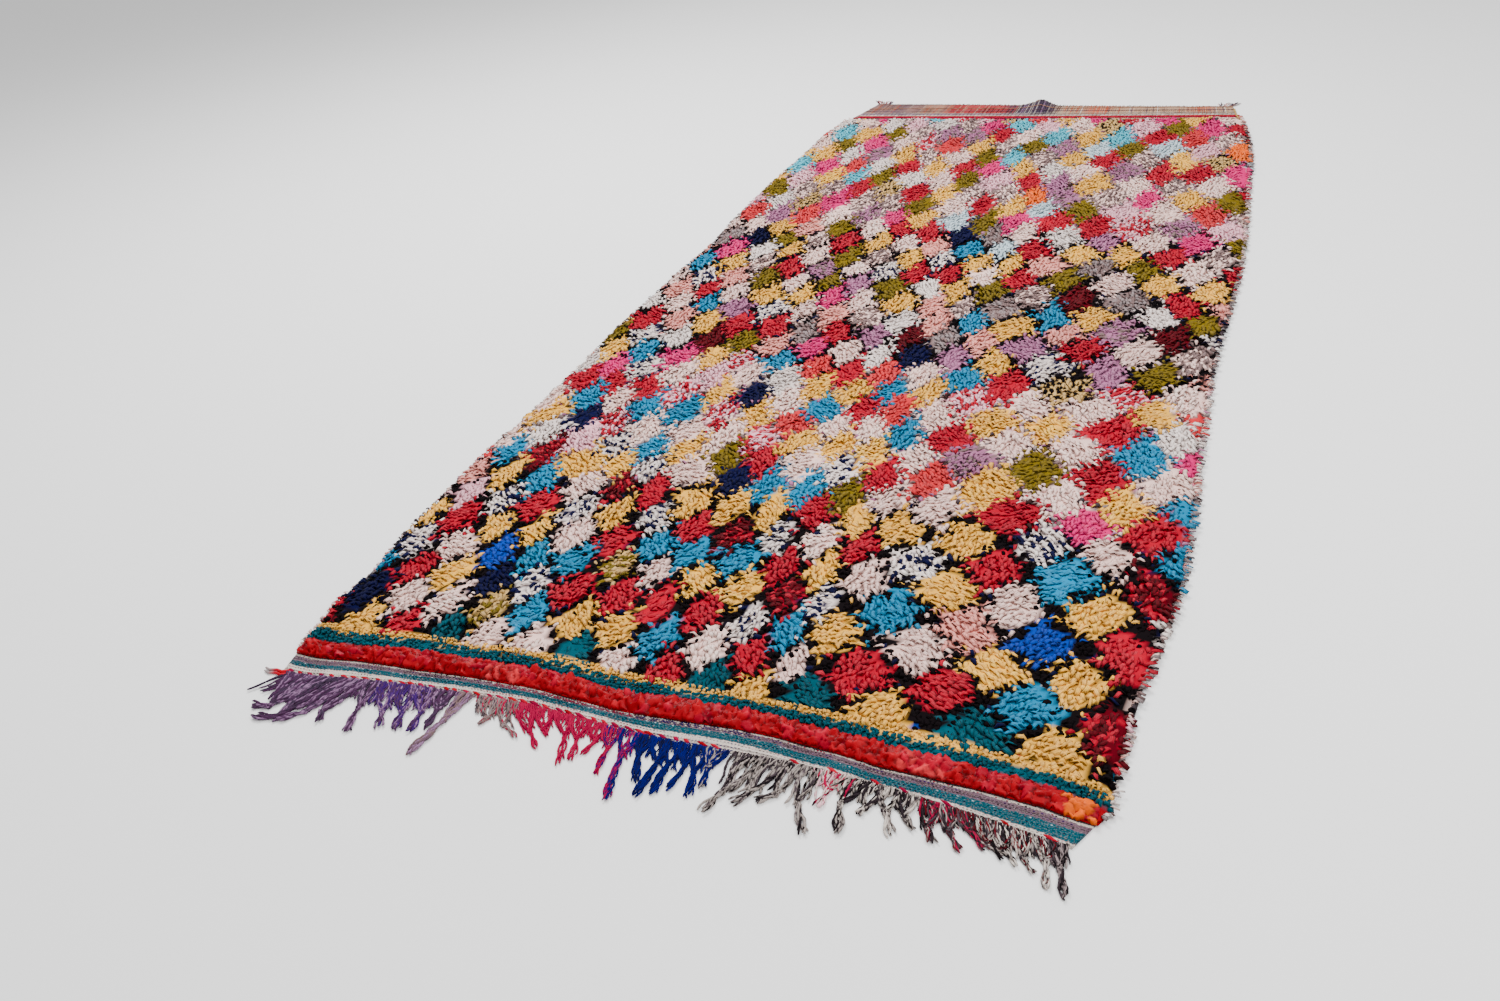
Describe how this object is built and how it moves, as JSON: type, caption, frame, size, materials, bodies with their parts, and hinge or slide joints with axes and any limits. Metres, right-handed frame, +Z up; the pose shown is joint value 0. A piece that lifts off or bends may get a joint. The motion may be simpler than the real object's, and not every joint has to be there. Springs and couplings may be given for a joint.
{
  "type": "boucherouite rug",
  "caption": "Long rag rug with a lumpy knotted pile, flat-woven ends, a netted yarn fringe along one hem and short warp ends at the far corners.",
  "frame": {"origin": "on the floor under the middle of the whole rug, fringe included", "axes": "+X across the rug, +Y from the fringed end to the far end, +Z up"},
  "size_m": [1.402, 3.1892, 0.0285],
  "materials": {
    "ground_weave": "matte woven cotton and wool",
    "rag_pile": "matte and satin knotted rags",
    "plum_yarn": "matte tweed yarn",
    "raspberry_yarn": "matte acrylic yarn",
    "blue_yarn": "matte acrylic yarn",
    "grey_yarn": "matte plied yarn",
    "charcoal_yarn": "matte plied yarn",
    "warp_yarn": "matte twisted yarn"
  },
  "bodies": {
    "root": {"ground_cloth": "ground_weave", "rag_pile": "rag_pile", "fringe_plum": "plum_yarn", "fringe_raspberry": "raspberry_yarn", "fringe_blue": "blue_yarn", "fringe_grey": "grey_yarn", "fringe_charcoal": "charcoal_yarn", "sprig_left": "warp_yarn", "sprig_right": "warp_yarn"}
  },
  "joints": []
}
